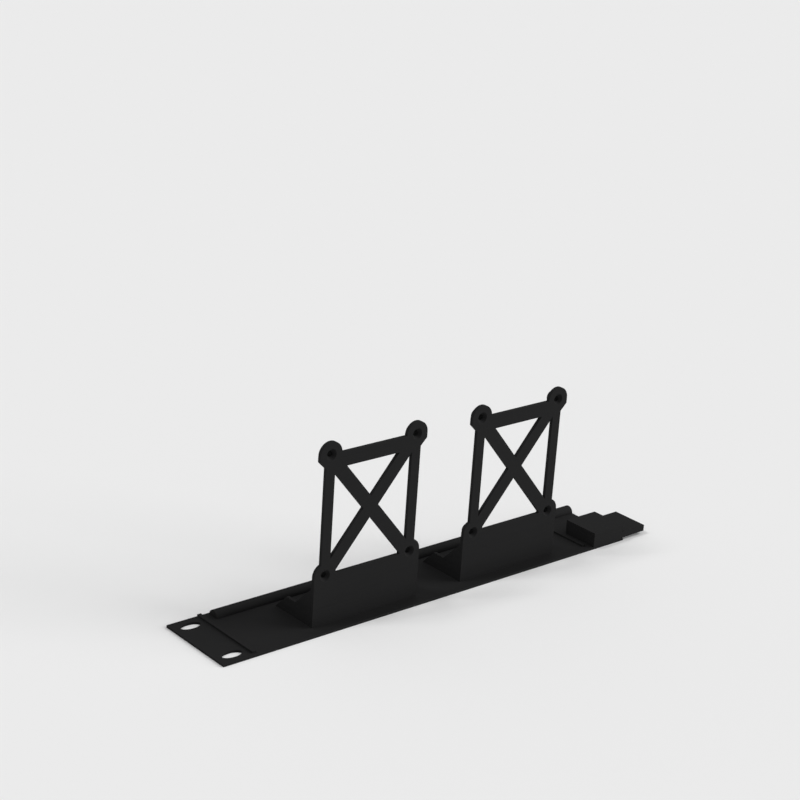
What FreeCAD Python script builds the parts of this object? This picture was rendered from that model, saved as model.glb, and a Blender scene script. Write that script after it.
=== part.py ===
import FreeCAD, Part

import math
import os

import Sketcher

# A printed bracket that holds two credit-card-size computers on edge behind one half of a
# one-unit rack panel. The panel lies face down. X runs along it from the rack ear to the
# joint with the other half, Y runs across it and Z is the depth into the rack.

SIZES = {
    # Front panel
    "panel_thickness": 1.2,
    "panel_lip": 1.3,
    "end_margin": 73.5,
    # Rack ear: two oval screw slots, one rack unit's outer pair
    "slot_spacing": 31.75,
    "slot_edge": 6.15,
    "slot_inset": 8.6,
    "slot_length": 10.5,
    "slot_width": 5.5,
    # Low cross ribs, one beside the ear and one beside the joint block
    "ear_length": 16.3,
    "rib_width": 2.0,
    "rib_height": 0.9,
    "ear_rib_setback": 1.75,
    "block_rib_setback": 3.6,
    "block_rib_gap": 2.6,
    # Half-round stiffening bead
    "bead_radius": 3.15,
    "bead_inset": 4.3,
    "bead_rib_gap": 3.8,
    # Board plates
    "plate_inset": 82.95,
    "plate_pitch": 88.55,
    "plate_setback": 6.55,
    "plate_thickness": 1.8,
    "hole_spacing_across": 49.0,
    "hole_spacing_up": 58.0,
    "hole_to_board_edge": 23.5,
    "board_panel_gap": 0.8,
    "boss_radius": 6.0,
    "boss_side_drop": 2.8,
    # Open frame of each plate, whose struts cross a little to the left of its middle
    "upright_width": 5.0,
    "strut_width": 6.5,
    "strut_drop": 0.75,
    "strut_shift": 0.4,
    "top_bar_height": 7.0,
    # Screw holes, countersunk in front, with standoffs behind
    "screw_bore": 2.9,
    "countersink_diameter": 5.4,
    "countersink_depth": 1.4,
    "standoff_diameter": 6.0,
    "standoff_length": 3.0,
    # Side gussets behind each plate
    "gusset_wall": 1.5,
    "gusset_height": 7.6,
    "gusset_level": 6.7,
    "gusset_slope_run": 11.0,
    # Opening in the panel for the sockets on the board's edge
    "board_thickness": 1.4,
    "socket_stack_height": 16.0,
    "socket_stack_width": 52.4,
    "socket_clearance": 0.6,
    # Joint with the other half of the panel
    "joint_block_length": 20.0,
    "joint_block_width": 20.0,
    "joint_block_height": 7.5,
    "tongue_reach": 16.3,
    "tongue_thickness": 3.25,
    "tongue_gap": 0.5,
}

PLATE_COUNT = 2

doc = FreeCAD.newDocument("rack_bracket_model")
sheet = doc.addObject("Spreadsheet::Sheet", "sizes")
for row, (alias, millimetres) in enumerate(SIZES.items(), start=1):
    sheet.set(f"A{row}", alias)
    sheet.set(f"B{row}", str(millimetres))
    sheet.setAlias(f"B{row}", alias)
doc.recompute()

body = doc.addObject("PartDesign::Body", "rack_bracket")
body.Label = "rack_bracket"

# Places worked out from the driving sizes, as expressions that the sketches are bound to

PANEL_TOP = "sizes.panel_thickness"
JOINT_END = "(sizes.plate_inset + sizes.plate_pitch + sizes.end_margin)"
PANEL_LENGTH = f"({JOINT_END} + sizes.panel_lip)"
PANEL_WIDTH = "(sizes.slot_spacing + 2 * sizes.slot_edge)"
PLATE_BACK = "(sizes.plate_setback + sizes.plate_thickness)"
HOLE_LEFT = "(sizes.plate_inset - sizes.hole_spacing_across / 2)"
HOLE_RIGHT = "(sizes.plate_inset + sizes.hole_spacing_across / 2)"
HOLE_LOW = "(sizes.panel_thickness + sizes.board_panel_gap + sizes.hole_to_board_edge)"
HOLE_HIGH = f"({HOLE_LOW} + sizes.hole_spacing_up)"
HOLES = [(across, up) for across in (HOLE_LEFT, HOLE_RIGHT) for up in (HOLE_LOW, HOLE_HIGH)]
PLATE_LEFT = f"({HOLE_LEFT} - sizes.boss_radius)"
PLATE_RIGHT = f"({HOLE_RIGHT} + sizes.boss_radius)"
JOINT_START = f"({JOINT_END} - sizes.joint_block_length)"


def value_of(expression):
    """Present value of an expression on the sheet's sizes."""
    return float(sheet.evalExpression(expression))


def origin_feature(role):
    """One of the body's own origin planes or axes."""
    return next(item for item in body.Origin.OriginFeatures if item.Role == role)


def new_sketch(name, plane, offset):
    """Empty sketch on an origin plane, moved along the plane's normal by offset."""
    sketch = body.newObject("Sketcher::SketchObject", name)
    sketch.AttachmentSupport = [(origin_feature(plane), "")]
    sketch.MapMode = "FlatFace"
    sketch.setExpression("AttachmentOffset.Base.z", offset)
    return sketch


def bind(sketch, constraint, expression):
    """Adds a constraint whose size is an expression on the sheet."""
    number = sketch.addConstraint(constraint)
    sketch.setExpression(f"Constraints[{number}]", expression)


def pin(sketch, curve, point, across, up):
    """Holds a curve's point at two distances from the sketch's origin."""
    for direction, distance in (("DistanceX", across), ("DistanceY", up)):
        here = Sketcher.Constraint(direction, -1, 1, curve, point, value_of(distance))
        bind(sketch, here, distance)


def spot(across, up):
    """Present position of a pair of expressions."""
    return FreeCAD.Vector(value_of(across), value_of(up), 0)


def join(sketch, first, first_point, second, second_point):
    """Makes two curves' ends one point."""
    ends = Sketcher.Constraint("Coincident", first, first_point, second, second_point)
    sketch.addConstraint(ends)


def chain(sketch, corners):
    """Lines from corner to corner, with the inner corners held and the two ends free."""
    lines = []
    for start, end in zip(corners, corners[1:]):
        line = sketch.addGeometry(Part.LineSegment(spot(*start), spot(*end)))
        if lines:
            pin(sketch, line, 1, *start)
            join(sketch, lines[-1], 2, line, 1)
        lines.append(line)
    return lines


def outline(sketch, corners):
    """Closed outline with straight sides."""
    lines = chain(sketch, corners + corners[:1])
    pin(sketch, lines[0], 1, *corners[0])
    join(sketch, lines[-1], 2, lines[0], 1)


def rectangle(sketch, left, low, right, high):
    """Closed upright rectangle."""
    outline(sketch, [(left, low), (right, low), (right, high), (left, high)])


def disc(sketch, across, up, radius):
    """Full circle about a held centre."""
    circle = Part.Circle(spot(across, up), FreeCAD.Vector(0, 0, 1), value_of(radius))
    curve = sketch.addGeometry(circle)
    pin(sketch, curve, 3, across, up)
    bind(sketch, Sketcher.Constraint("Radius", curve, value_of(radius)), radius)


def dome(sketch, across, up, radius):
    """Upper half of a circle about a held centre, its two ends level with the centre."""
    circle = Part.Circle(spot(across, up), FreeCAD.Vector(0, 0, 1), value_of(radius))
    arc = sketch.addGeometry(Part.ArcOfCircle(circle, 0, math.pi))
    pin(sketch, arc, 3, across, up)
    bind(sketch, Sketcher.Constraint("Radius", arc, value_of(radius)), radius)
    for end in (1, 2):
        sketch.addConstraint(Sketcher.Constraint("Horizontal", arc, end, arc, 3))
    return arc


def oval(sketch, across, up, length, width):
    """Ellipse along the sketch's first axis, about a held centre."""
    centre = spot(across, up)
    reach = FreeCAD.Vector(value_of(length) / 2, 0, 0)
    rise = FreeCAD.Vector(0, value_of(width) / 2, 0)
    curve = sketch.addGeometry(Part.Ellipse(centre + reach, centre + rise, centre))
    pin(sketch, curve, 3, across, up)
    for role, half, size in (
        ("EllipseMajorDiameter", reach, length),
        ("EllipseMinorDiameter", rise, width),
    ):
        axis = sketch.addGeometry(Part.LineSegment(centre - half, centre + half), True)
        sketch.addConstraint(Sketcher.Constraint(f"InternalAlignment:{role}", axis, curve))
        bind(sketch, Sketcher.Constraint("Distance", axis, value_of(size)), size)
    sketch.addConstraint(Sketcher.Constraint("Vertical", axis))


def band(sketch, start, end, width):
    """Straight band of one width about the line from start to end."""
    first = spot(*start)
    last = spot(*end)
    along = (last - first).normalize()
    side = FreeCAD.Vector(-along.y, along.x, 0) * (value_of(width) / 2)
    middle = sketch.addGeometry(Part.LineSegment(first, last), True)
    pin(sketch, middle, 1, *start)
    pin(sketch, middle, 2, *end)
    corners = [first - side, last - side, last + side, first + side]
    lines = []
    for number, corner in enumerate(corners):
        following = corners[(number + 1) % len(corners)]
        lines.append(sketch.addGeometry(Part.LineSegment(corner, following)))
    for before, after in zip(lines, lines[1:] + lines[:1]):
        join(sketch, before, 2, after, 1)
    side_line, far_end, _, near_end = lines
    for end_line, centre in ((near_end, 1), (far_end, 2)):
        halves = Sketcher.Constraint("Symmetric", end_line, 1, end_line, 2, middle, centre)
        sketch.addConstraint(halves)
        sketch.addConstraint(Sketcher.Constraint("Perpendicular", end_line, middle))
    sketch.addConstraint(Sketcher.Constraint("Parallel", side_line, middle))
    bind(sketch, Sketcher.Constraint("Distance", near_end, value_of(width)), width)


def add(name, sketch, length, backwards=False):
    """Pad along the sketch's normal, or against it."""
    pad = body.newObject("PartDesign::Pad", name)
    pad.Profile = sketch
    pad.Reversed = backwards
    pad.setExpression("Length", length)
    doc.recompute()
    return pad


def cut(name, sketch, depth):
    """Pocket against the sketch's normal, which has to take material away."""
    before = body.Shape.Volume
    pocket = body.newObject("PartDesign::Pocket", name)
    pocket.Profile = sketch
    pocket.setExpression("Length", depth)
    doc.recompute()
    if not pocket.Shape.Volume < before:
        raise RuntimeError(f"{name} cuts nothing")
    return pocket


def countersunk_holes(name, sketch, depth):
    """Round holes at the sketch's circles, each widened to a cone where a screw head sits."""
    flare = "(sizes.countersink_diameter - sizes.screw_bore) / 2"
    hole = body.newObject("PartDesign::Hole", name)
    hole.Profile = sketch
    hole.DepthType = "Dimension"
    hole.DrillPoint = "Flat"
    hole.HoleCutType = "Countersink"
    hole.HoleCutCustomValues = True
    hole.setExpression("Diameter", "sizes.screw_bore")
    hole.setExpression("Depth", depth)
    hole.setExpression("HoleCutDiameter", "sizes.countersink_diameter")
    hole.setExpression("HoleCutCountersinkAngle", f"2 * atan({flare} / sizes.countersink_depth)")
    doc.recompute()
    return hole


def panel():
    """Thin rack panel with the ear's two screw slots."""
    blank = new_sketch("panel_outline", "XY_Plane", "0")
    rectangle(blank, "0", "0", PANEL_LENGTH, PANEL_WIDTH)
    add("panel", blank, "sizes.panel_thickness")
    slots = new_sketch("slot_outlines", "XY_Plane", PANEL_TOP)
    for up in ("sizes.slot_edge", "sizes.slot_edge + sizes.slot_spacing"):
        oval(slots, "sizes.slot_inset", up, "sizes.slot_length", "sizes.slot_width")
    cut("rack_slots", slots, "sizes.panel_thickness")


def stiffeners():
    """Two low cross ribs and the long half-round bead."""
    ribs = new_sketch("rib_outlines", "XY_Plane", PANEL_TOP)
    block_rib = f"{JOINT_START} - sizes.block_rib_gap - sizes.rib_width"
    for left, near in (
        ("sizes.ear_length", "sizes.ear_rib_setback"),
        (block_rib, "sizes.block_rib_setback"),
    ):
        rectangle(ribs, left, near, f"{left} + sizes.rib_width", PANEL_WIDTH)
    add("cross_ribs", ribs, "sizes.rib_height")
    bead_start = "(sizes.ear_length + sizes.rib_width + sizes.bead_rib_gap)"
    section = new_sketch("bead_section", "YZ_Plane", bead_start)
    axis = f"({PANEL_WIDTH} - sizes.bead_inset)"
    radius = "sizes.bead_radius"
    arc = dome(section, axis, PANEL_TOP, radius)
    foot = chain(section, [(f"{axis} - {radius}", PANEL_TOP), (f"{axis} + {radius}", PANEL_TOP)])
    join(section, arc, 2, foot[0], 1)
    join(section, foot[0], 2, arc, 1)
    add("bead", section, f"{PANEL_LENGTH} - {bead_start}")


def joint():
    """Block near the panel's plain end and the tongue that laps behind the other half."""
    block = new_sketch("joint_block_outline", "XY_Plane", PANEL_TOP)
    rectangle(block, JOINT_START, "0", JOINT_END, "sizes.joint_block_width")
    add("joint_block", block, "sizes.joint_block_height")
    section = new_sketch("tongue_section", "YZ_Plane", JOINT_END)
    underside = f"{PANEL_TOP} + sizes.tongue_gap"
    top = f"{underside} + sizes.tongue_thickness"
    rectangle(section, "0", underside, "sizes.joint_block_width", top)
    add("tongue", section, "sizes.tongue_reach")


def socket_opening():
    """Opening in the panel in line with the sockets of a seated board."""
    half_width = "(sizes.socket_stack_width / 2 + sizes.socket_clearance)"
    board_face = f"({PLATE_BACK} + sizes.standoff_length + sizes.board_thickness)"
    near = f"{board_face} - sizes.socket_clearance"
    far = f"{board_face} + sizes.socket_stack_height + sizes.socket_clearance"
    opening = new_sketch("socket_outline", "XY_Plane", PANEL_TOP)
    left = f"sizes.plate_inset - {half_width}"
    right = f"sizes.plate_inset + {half_width}"
    rectangle(opening, left, near, right, far)
    return [cut("socket_opening", opening, "sizes.panel_thickness")]


def lower_plate():
    """Solid lower plate whose two upper corners rise into round screw bosses."""
    face = new_sketch("plate_outline", "XZ_Plane", f"-{PLATE_BACK}")
    radius = "sizes.boss_radius"
    lines = chain(
        face,
        [(PLATE_LEFT, HOLE_LOW), (PLATE_LEFT, PANEL_TOP), (PLATE_RIGHT, PANEL_TOP),
         (PLATE_RIGHT, HOLE_LOW)],
    )
    right = dome(face, HOLE_RIGHT, HOLE_LOW, radius)
    left = dome(face, HOLE_LEFT, HOLE_LOW, radius)
    edge = chain(face, [(f"{HOLE_RIGHT} - {radius}", HOLE_LOW), (f"{HOLE_LEFT} + {radius}", HOLE_LOW)])
    join(face, lines[-1], 2, right, 1)
    join(face, right, 2, edge[0], 1)
    join(face, edge[0], 2, left, 1)
    join(face, left, 2, lines[0], 1)
    return [add("lower_plate", face, "sizes.plate_thickness")]


def open_frame():
    """Uprights, top bar with its two bosses, and the crossed struts between them."""
    made = []
    half = "sizes.upright_width / 2"
    plane = f"-{PLATE_BACK}"
    uprights = new_sketch("upright_outlines", "XZ_Plane", plane)
    for across in (HOLE_LEFT, HOLE_RIGHT):
        rectangle(uprights, f"{across} - {half}", HOLE_LOW, f"{across} + {half}", HOLE_HIGH)
    made.append(add("uprights", uprights, "sizes.plate_thickness"))
    bar = new_sketch("top_bar_outline", "XZ_Plane", plane)
    rectangle(bar, HOLE_LEFT, f"{HOLE_HIGH} - sizes.top_bar_height", HOLE_RIGHT, HOLE_HIGH)
    made.append(add("top_bar", bar, "sizes.plate_thickness"))
    bosses = new_sketch("upper_boss_outlines", "XZ_Plane", plane)
    for across in (HOLE_LEFT, HOLE_RIGHT):
        upper_boss(bosses, across)
    made.append(add("upper_bosses", bosses, "sizes.plate_thickness"))
    left = f"{HOLE_LEFT} - sizes.strut_shift"
    right = f"{HOLE_RIGHT} - sizes.strut_shift"
    low = f"{HOLE_LOW} - sizes.strut_drop"
    high = f"{HOLE_HIGH} - sizes.strut_drop"
    for name, start, end in (
        ("rising_strut", (left, low), (right, high)),
        ("falling_strut", (left, high), (right, low)),
    ):
        strut = new_sketch(f"{name}_outline", "XZ_Plane", plane)
        band(strut, start, end, "sizes.strut_width")
        made.append(add(name, strut, "sizes.plate_thickness"))
    return made


def upper_boss(sketch, across):
    """Boss with a round top and straight sides that run in to the upright at 45 degrees."""
    radius = "sizes.boss_radius"
    half = "sizes.upright_width / 2"
    side_end = f"{HOLE_HIGH} - sizes.boss_side_drop"
    foot = f"{side_end} - ({radius} - {half})"
    lines = chain(
        sketch,
        [(f"{across} - {radius}", HOLE_HIGH), (f"{across} - {radius}", side_end),
         (f"{across} - {half}", foot), (f"{across} + {half}", foot),
         (f"{across} + {radius}", side_end), (f"{across} + {radius}", HOLE_HIGH)],
    )
    arc = dome(sketch, across, HOLE_HIGH, radius)
    join(sketch, lines[-1], 2, arc, 1)
    join(sketch, arc, 2, lines[0], 1)


def screw_seats():
    """Standoffs behind the plate and countersunk screw holes through both."""
    standoffs = new_sketch("standoff_outlines", "XZ_Plane", f"-{PLATE_BACK}")
    holes = new_sketch("screw_hole_outlines", "XZ_Plane", "-sizes.plate_setback")
    for across, up in HOLES:
        disc(standoffs, across, up, "sizes.standoff_diameter / 2")
        disc(holes, across, up, "sizes.screw_bore / 2")
    return [
        add("standoffs", standoffs, "sizes.standoff_length", backwards=True),
        countersunk_holes("screw_holes", holes, "sizes.plate_thickness + sizes.standoff_length"),
    ]


def gussets():
    """Side walls that step down from the plate's back to the panel at 45 degrees."""
    made = []
    level_start = f"({PLATE_BACK} + sizes.gusset_slope_run)"
    level_end = f"({level_start} + sizes.gusset_level)"
    level = f"({PANEL_TOP} + sizes.gusset_height)"
    corners = [
        (PLATE_BACK, PANEL_TOP),
        (f"{level_end} + sizes.gusset_height", PANEL_TOP),
        (level_end, level),
        (level_start, level),
        (PLATE_BACK, f"{level} + sizes.gusset_slope_run"),
    ]
    for name, left in (
        ("left_gusset", PLATE_LEFT),
        ("right_gusset", f"{PLATE_RIGHT} - sizes.gusset_wall"),
    ):
        side = new_sketch(f"{name}_outline", "YZ_Plane", left)
        outline(side, corners)
        made.append(add(name, side, "sizes.gusset_wall"))
    return made


def repeat_along_panel(name, features):
    """The same features again for the second board, one pitch further along the panel."""
    pattern = body.newObject("PartDesign::LinearPattern", name)
    pattern.Originals = features
    pattern.Direction = (origin_feature("X_Axis"), [""])
    pattern.Occurrences = PLATE_COUNT
    pattern.setExpression("Length", "sizes.plate_pitch")
    body.Tip = pattern
    doc.recompute()


panel()
stiffeners()
joint()
repeat_along_panel("board_plates", socket_opening() + lower_plate() + open_frame() + gussets())
repeat_along_panel("board_screw_seats", screw_seats())

# The origin is below the middle of the whole bracket, on the panel's front face
body.setExpression("Placement.Base.x", f"-({JOINT_END} + sizes.tongue_reach) / 2")
body.setExpression("Placement.Base.y", f"-{PANEL_WIDTH} / 2")
doc.recompute()

for item in doc.Objects:
    if "Invalid" in item.State or "Error" in item.State:
        raise RuntimeError(f"{item.Name} failed: {item.State}")
if body.Shape.isNull() or not body.Shape.isValid() or len(body.Shape.Solids) != 1:
    raise RuntimeError("the bracket is not one valid solid")

os.makedirs("parts", exist_ok=True)
body.Shape.exportStep(f"parts/{body.Label}.step")
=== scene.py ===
import math

import bpy
from mathutils import Matrix, Vector


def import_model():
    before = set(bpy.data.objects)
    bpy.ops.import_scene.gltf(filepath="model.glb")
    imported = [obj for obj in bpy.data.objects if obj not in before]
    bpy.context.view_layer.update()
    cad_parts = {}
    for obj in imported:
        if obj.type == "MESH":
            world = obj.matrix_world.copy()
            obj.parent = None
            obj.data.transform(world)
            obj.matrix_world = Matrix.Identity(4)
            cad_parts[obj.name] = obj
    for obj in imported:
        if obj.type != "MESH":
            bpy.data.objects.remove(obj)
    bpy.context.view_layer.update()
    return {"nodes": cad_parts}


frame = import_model()

# Camera of the photograph, in metres and degrees. Azimuth turns from +Y towards +X.
CAMERA_PLACE = Vector((-0.55271, -0.60621, 0.38826))
CAMERA_AZIMUTH = 41.228
CAMERA_FALL = 20.030
CAMERA_ROLL = 3.845
CAMERA_LENS_MM = 85.04
CAMERA_SENSOR_MM = 36.0

# Pale floor and background of one tone, and the floor's side in metres
STAGE_TONE = (0.831, 0.831, 0.831, 1.0)
FLOOR_SIZE = 40.0

# Lights: each one's share of the light that reaches the floor, and, for the soft far lights, the
# direction that it shines from, as degrees round from +X and degrees up, and its angular size
WHITE = (1.0, 1.0, 1.0, 1.0)
EVEN_SHARE = 0.38
FAR_LIGHTS = {
    "key": {"share": 0.255, "turn": 330.0, "rise": 45.0, "spread": 30.0},
    "low": {"share": 0.13, "turn": 320.0, "rise": 15.0, "spread": 30.0},
    "back": {"share": 0.235, "turn": 160.0, "rise": 55.0, "spread": 12.0},
}

# Lines of the printed plastic, in metres and degrees: layers stacked along Z on walls, the
# nozzle's paths on level faces, and uneven streaks that run along both
LAYER_HEIGHT = 0.0002
PATH_WIDTH = 0.00045
PATH_ANGLE = 45.0
STREAK_LENGTH = 0.030
LINES_PER_STREAK = 3
STREAK_DETAIL = 3.0

# Relief of the streaks and of the finer lines, in metres, and the share of it that shows
STREAK_RELIEF = LAYER_HEIGHT
LINE_RELIEF = LAYER_HEIGHT / 10
RELIEF_STRENGTH = 0.25

# The normal's Z from which a face starts to count as level, and from which it fully does
LEVEL_FROM = 0.97
LEVEL_FULL = 0.99

# Matte black plastic: how strongly it reflects, and the tones and roughness that the streaks go
# between. Level faces are rougher.
PLASTIC_SPECULAR = 0.06
PLASTIC_DARK = (0.0094, 0.0094, 0.0096, 1.0)
PLASTIC_LIGHT = (0.0142, 0.0142, 0.0144, 1.0)
WALL_ROUGH = (0.62, 0.82)
LEVEL_ROUGH = (0.78, 0.96)


def add_node(tree, kind, **values):
    """New node with its inputs set by name."""
    node = tree.nodes.new(kind)
    for name, value in values.items():
        node.inputs[name].default_value = value
    return node


def wave(tree, vector, direction, period):
    """Even ridges of one period along one axis of vector."""
    radians_at_scale_one = 20.0
    ridges = add_node(tree, "ShaderNodeTexWave", Scale=2 * math.pi / (radians_at_scale_one * period))
    ridges.wave_type = "BANDS"
    ridges.bands_direction = direction
    ridges.wave_profile = "SIN"
    tree.links.new(vector, ridges.inputs["Vector"])
    return ridges.outputs["Fac"]


def turned(tree, vector, degrees, unit=(1.0, 1.0, 1.0)):
    """Vector in axes turned about Z, counted in units of its own along each axis."""
    axes = add_node(tree, "ShaderNodeMapping", Rotation=(0.0, 0.0, math.radians(degrees)), Scale=unit)
    axes.vector_type = "TEXTURE"
    tree.links.new(vector, axes.inputs["Vector"])
    return axes.outputs["Vector"]


def streaks(tree, vector):
    """Uneven streaks about one unit of vector in size."""
    noise = add_node(tree, "ShaderNodeTexNoise", Scale=1.0, Detail=STREAK_DETAIL)
    tree.links.new(vector, noise.inputs["Vector"])
    return noise.outputs["Fac"]


def map_range(tree, value, **ends):
    """Value carried from one range to another, each from 0 to 1 where no end is given."""
    carried = add_node(tree, "ShaderNodeMapRange", **ends)
    tree.links.new(value, carried.inputs["Value"])
    return carried.outputs["Result"]


def mixed(tree, share, first, second):
    """First where share is 0, second where it is 1."""
    mix = tree.nodes.new("ShaderNodeMix")
    tree.links.new(share, mix.inputs["Factor"])
    tree.links.new(first, mix.inputs["A"])
    tree.links.new(second, mix.inputs["B"])
    return mix.outputs["Result"]


def bump(tree, height, distance, before=None):
    """Normal raised by height times distance, on top of an earlier normal."""
    raised = add_node(tree, "ShaderNodeBump", Strength=RELIEF_STRENGTH, Distance=distance)
    tree.links.new(height, raised.inputs["Height"])
    if before is not None:
        tree.links.new(before, raised.inputs["Normal"])
    return raised.outputs["Normal"]


def level_share(tree):
    """1 on faces that look straight up, 0 on walls and slopes."""
    facing = tree.nodes.new("ShaderNodeNewGeometry")
    axes = tree.nodes.new("ShaderNodeSeparateXYZ")
    tree.links.new(facing.outputs["Normal"], axes.inputs["Vector"])
    return map_range(tree, axes.outputs["Z"], **{"From Min": LEVEL_FROM, "From Max": LEVEL_FULL})


def streak_roughness(tree, streak, ends):
    """Roughness that goes from one end of a range to the other with streak."""
    least, most = ends
    return map_range(tree, streak, **{"To Min": least, "To Max": most})


def printed_plastic():
    """Matte black printed plastic with layer lines on walls and nozzle paths on level faces."""
    material = bpy.data.materials.new("layered_black_plastic")
    material.use_nodes = True
    tree = material.node_tree
    shader = tree.nodes["Principled BSDF"]
    shader.inputs["Specular IOR Level"].default_value = PLASTIC_SPECULAR
    place = tree.nodes.new("ShaderNodeTexCoord").outputs["Object"]
    level = level_share(tree)

    layers = wave(tree, place, "Z", LAYER_HEIGHT)
    paths = wave(tree, turned(tree, place, PATH_ANGLE), "X", PATH_WIDTH)
    layer_streak = (STREAK_LENGTH, STREAK_LENGTH, LINES_PER_STREAK * LAYER_HEIGHT)
    path_streak = (LINES_PER_STREAK * PATH_WIDTH, STREAK_LENGTH, STREAK_LENGTH)
    wall_streaks = streaks(tree, turned(tree, place, 0.0, layer_streak))
    level_streaks = streaks(tree, turned(tree, place, PATH_ANGLE, path_streak))
    lines = mixed(tree, level, layers, paths)
    uneven = mixed(tree, level, wall_streaks, level_streaks)

    tint = tree.nodes.new("ShaderNodeMix")
    tint.data_type = "RGBA"
    tint.inputs["A"].default_value = PLASTIC_DARK
    tint.inputs["B"].default_value = PLASTIC_LIGHT
    tree.links.new(uneven, tint.inputs["Factor"])
    tree.links.new(tint.outputs["Result"], shader.inputs["Base Color"])

    wall_rough = streak_roughness(tree, wall_streaks, WALL_ROUGH)
    level_rough = streak_roughness(tree, level_streaks, LEVEL_ROUGH)
    tree.links.new(mixed(tree, level, wall_rough, level_rough), shader.inputs["Roughness"])

    streaked = bump(tree, uneven, STREAK_RELIEF)
    lined = bump(tree, lines, LINE_RELIEF, before=streaked)
    tree.links.new(lined, shader.inputs["Normal"])
    return material


def stage():
    """Pale matte floor that runs out of sight."""
    bpy.ops.mesh.primitive_plane_add(size=FLOOR_SIZE)
    floor = bpy.context.object
    floor.name = "floor"
    material = bpy.data.materials.new("pale_floor")
    material.use_nodes = True
    shader = material.node_tree.nodes["Principled BSDF"]
    shader.inputs["Base Color"].default_value = STAGE_TONE
    shader.inputs["Roughness"].default_value = 1.0
    shader.inputs["Specular IOR Level"].default_value = 0.0
    floor.data.materials.append(material)


def world():
    """Even light from all round, which the camera and reflections see as the floor's own tone."""
    sky = bpy.data.worlds.new("even_light")
    bpy.context.scene.world = sky
    sky.use_nodes = True
    tree = sky.node_tree
    ray = tree.nodes.new("ShaderNodeLightPath")
    seen = ray.outputs["Is Camera Ray"]
    for other in ("Is Glossy Ray", "Is Transmission Ray"):
        either = tree.nodes.new("ShaderNodeMath")
        either.operation = "MAXIMUM"
        tree.links.new(seen, either.inputs[0])
        tree.links.new(ray.outputs[other], either.inputs[1])
        seen = either.outputs["Value"]
    glow = tree.nodes["Background"]
    glow.inputs["Color"].default_value = WHITE
    glow.inputs["Strength"].default_value = EVEN_SHARE
    backdrop = add_node(tree, "ShaderNodeBackground", Color=STAGE_TONE, Strength=1.0)
    shown = tree.nodes.new("ShaderNodeMixShader")
    tree.links.new(seen, shown.inputs["Fac"])
    tree.links.new(glow.outputs["Background"], shown.inputs[1])
    tree.links.new(backdrop.outputs["Background"], shown.inputs[2])
    tree.links.new(shown.outputs["Shader"], tree.nodes["World Output"].inputs["Surface"])


def far_light(name, share, turn, rise, spread):
    """Soft light from far away that gives its share of a white floor's brightness."""
    turn = math.radians(turn)
    rise = math.radians(rise)
    source = Vector((
        math.cos(turn) * math.cos(rise),
        math.sin(turn) * math.cos(rise),
        math.sin(rise),
    ))
    data = bpy.data.lights.new(name, "SUN")
    data.energy = share * math.pi / math.sin(rise)
    data.angle = math.radians(spread)
    lamp = bpy.data.objects.new(name, data)
    lamp.rotation_mode = "QUATERNION"
    lamp.rotation_quaternion = (-source).to_track_quat("-Z", "Y")
    bpy.context.scene.collection.objects.link(lamp)


def camera():
    """Camera at the photograph's place, angle, roll and lens."""
    data = bpy.data.cameras.new("photo_camera")
    data.lens = CAMERA_LENS_MM
    data.sensor_width = CAMERA_SENSOR_MM
    azimuth = math.radians(CAMERA_AZIMUTH)
    fall = math.radians(CAMERA_FALL)
    forward = Vector((
        math.sin(azimuth) * math.cos(fall),
        math.cos(azimuth) * math.cos(fall),
        -math.sin(fall),
    ))
    right = forward.cross(Vector((0.0, 0.0, 1.0))).normalized()
    up = right.cross(forward)
    upright = Matrix((right, up, -forward)).transposed()
    roll = Matrix.Rotation(math.radians(CAMERA_ROLL), 3, "Z")
    viewer = bpy.data.objects.new("photo_camera", data)
    viewer.matrix_world = Matrix.Translation(CAMERA_PLACE) @ (upright @ roll).to_4x4()
    bpy.context.scene.collection.objects.link(viewer)
    bpy.context.scene.camera = viewer


bracket = frame["nodes"]["rack_bracket"]
bracket.material_slots[0].material = printed_plastic()

stage()
world()
for light, values in FAR_LIGHTS.items():
    far_light(light, **values)
camera()
bpy.context.scene.view_settings.view_transform = "Standard"
